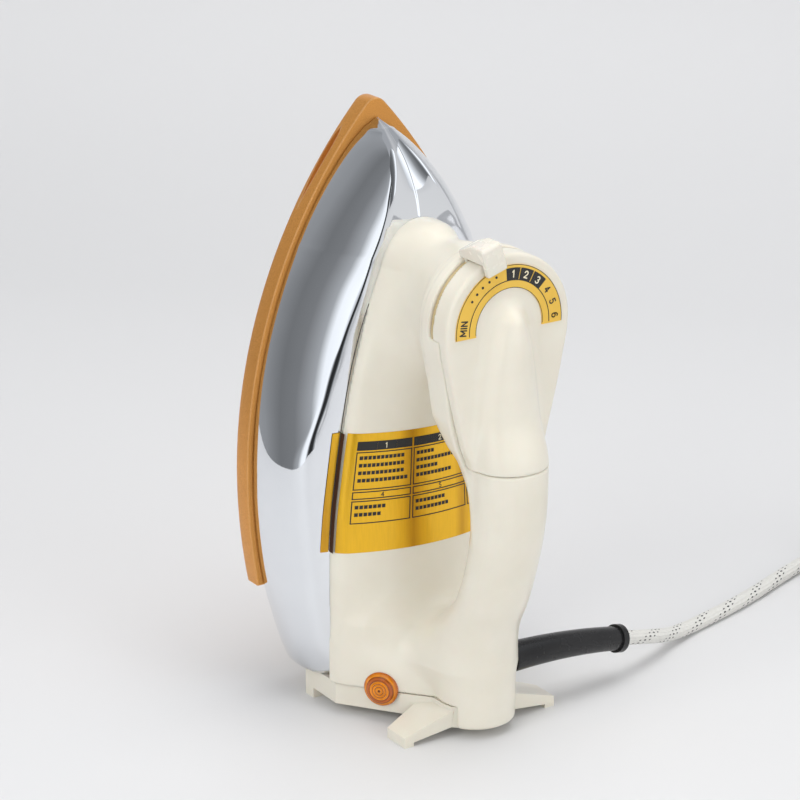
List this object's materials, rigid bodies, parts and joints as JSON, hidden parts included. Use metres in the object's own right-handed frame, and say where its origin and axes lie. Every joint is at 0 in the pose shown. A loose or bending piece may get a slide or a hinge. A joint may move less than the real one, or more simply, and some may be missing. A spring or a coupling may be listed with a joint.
{
  "type": "clothes iron",
  "caption": "Dry clothes iron standing on its heel: boat-shaped soleplate, chrome cover, closed plastic handle with a dial and lever, pilot lamp and braided mains cord with plug.",
  "frame": {"origin": "middle of the iron's footprint at the floor it stands on, cord, coil, sleeve and plug left out", "axes": "+Z from heel to nose, -X out of the ironing face, +X towards the handle, +Y to the side the cord leaves"},
  "size_m": [0.1311, 0.3669, 0.245],
  "materials": {
    "sole_coat": "cast aluminium with a gold-orange non-stick coat",
    "element_steel": "steel sheath",
    "plated_brass": "nickel-plated brass",
    "cast_iron": "as cast",
    "zinc_steel": "zinc plated",
    "ceramic": "glazed ceramic",
    "beige_plastic": "heat-proof moulding",
    "cream_plastic": "satin gloss moulding",
    "chrome": "mirror chrome on steel sheet",
    "gold_label": "gold foil with black print",
    "amber_lens": "clear amber moulding with rings",
    "clear_glass": "neon lamp",
    "yellow_zinc": "yellow passivated steel sheet",
    "lead_sleeve": "glass-fibre sleeve",
    "cord_braid": "white cotton braid with black flecks",
    "black_rubber": "glossy black rubber",
    "plug_plastic": "moulded black"
  },
  "bodies": {
    "iron": {"soleplate": "sole_coat", "heating_element": "element_steel", "element_terminals": "plated_brass", "pressure_plate": "cast_iron", "sole_studs": "zinc_steel", "stud_nuts": "zinc_steel", "handle_bolt": "zinc_steel", "thermostat_body": "ceramic", "chrome_cover": "chrome", "handle_body": "cream_plastic", "label_plate": "gold_label", "lamp_lens": "amber_lens", "lamp_bulb": "clear_glass", "lamp_holder": "beige_plastic", "handle_cap": "cream_plastic", "dial_plate": "gold_label", "heel_cover": "cream_plastic", "heel_bracket": "yellow_zinc", "heel_screws": "zinc_steel", "terminal_block": "ceramic", "cord_clamp": "beige_plastic", "internal_leads": "lead_sleeve", "cord": "cord_braid", "cord_coil": "cord_braid", "cord_tail": "cord_braid", "cord_protector": "black_rubber", "plug_body": "plug_plastic", "plug_pins": "plated_brass"},
    "temperature_control": {"temperature_lever": "cream_plastic", "lever_disc": "beige_plastic", "thermostat_spindle": "zinc_steel"}
  },
  "joints": [
    {"name": "lever_turn", "type": "hinge", "parent": "iron", "child": "temperature_control", "pos_m": [0.03, 0, 0.1747], "axis": [1, 0, 0], "range_deg": [-96, 60]}
  ]
}
